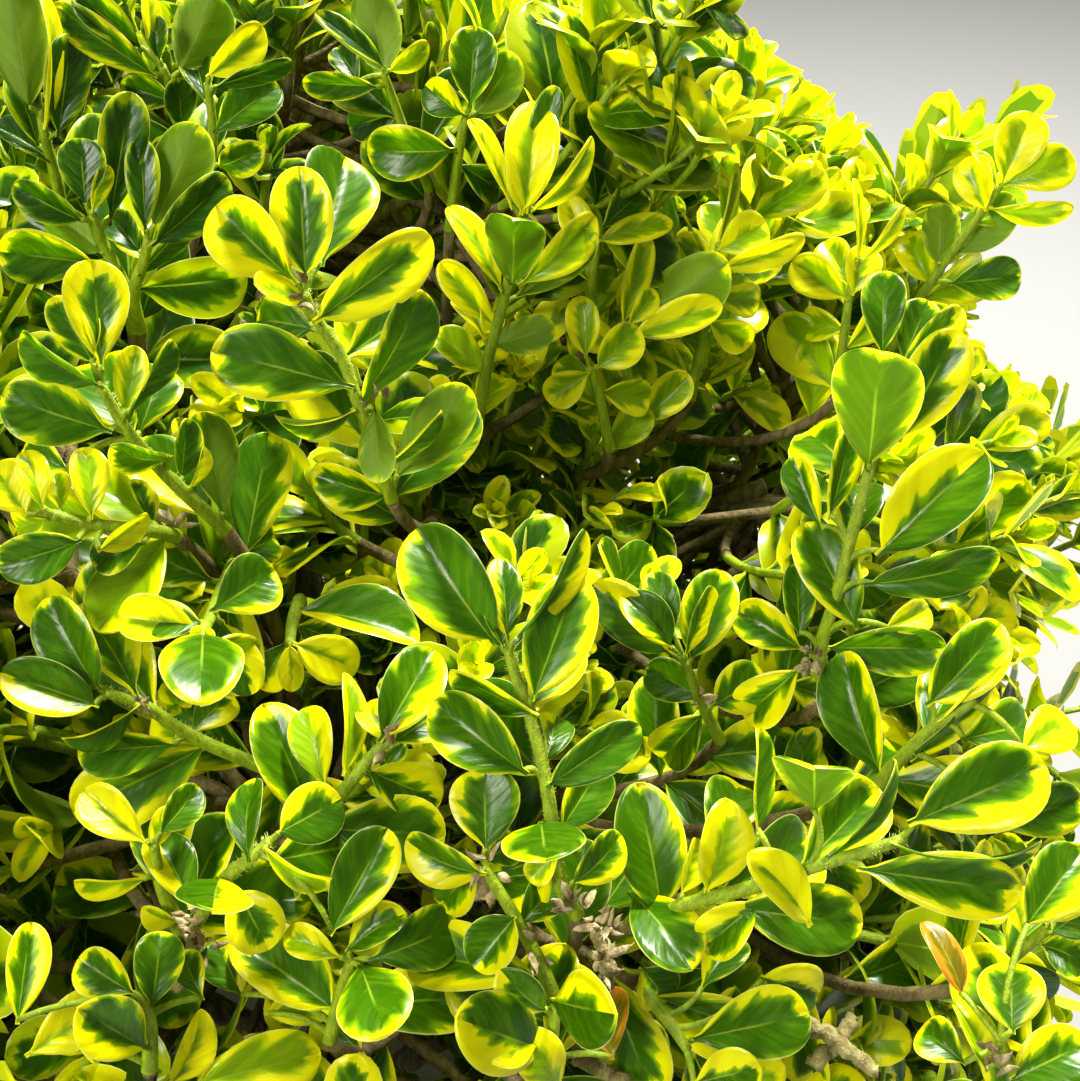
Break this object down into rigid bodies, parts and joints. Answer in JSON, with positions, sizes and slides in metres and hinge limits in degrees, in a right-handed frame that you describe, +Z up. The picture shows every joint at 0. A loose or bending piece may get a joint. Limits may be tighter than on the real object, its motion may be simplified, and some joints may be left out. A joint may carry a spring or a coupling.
{
  "type": "variegated box bush",
  "caption": "Rounded evergreen garden shrub with small opposite yellow-edged leaves, a short trunk and loose young shoots.",
  "frame": {"origin": "middle of the flat cut under the trunk, at ground level", "axes": "+Z up along the trunk, -Y towards the side that the picture shows"},
  "size_m": [0.5235, 0.5406, 0.4917],
  "materials": {
    "bark": "rough, fissured",
    "foliage": "half glossy leaves"
  },
  "bodies": {
    "root": {"trunk": "bark", "bough_top": "bark", "bough_upper_1": "bark", "bough_upper_2": "bark", "bough_upper_3": "bark", "bough_upper_4": "bark", "bough_upper_5": "bark", "bough_lower_1": "bark", "bough_lower_2": "bark", "bough_lower_3": "bark", "bough_lower_4": "bark", "bough_lower_5": "bark", "bough_lower_6": "bark", "bough_lower_7": "bark", "foliage_top": "foliage", "foliage_upper_1": "foliage", "foliage_upper_2": "foliage", "foliage_upper_3": "foliage", "foliage_upper_4": "foliage", "foliage_upper_5": "foliage", "foliage_lower_1": "foliage", "foliage_lower_2": "foliage", "foliage_lower_3": "foliage", "foliage_lower_4": "foliage", "foliage_lower_5": "foliage", "foliage_lower_6": "foliage", "foliage_lower_7": "foliage"}
  },
  "joints": []
}
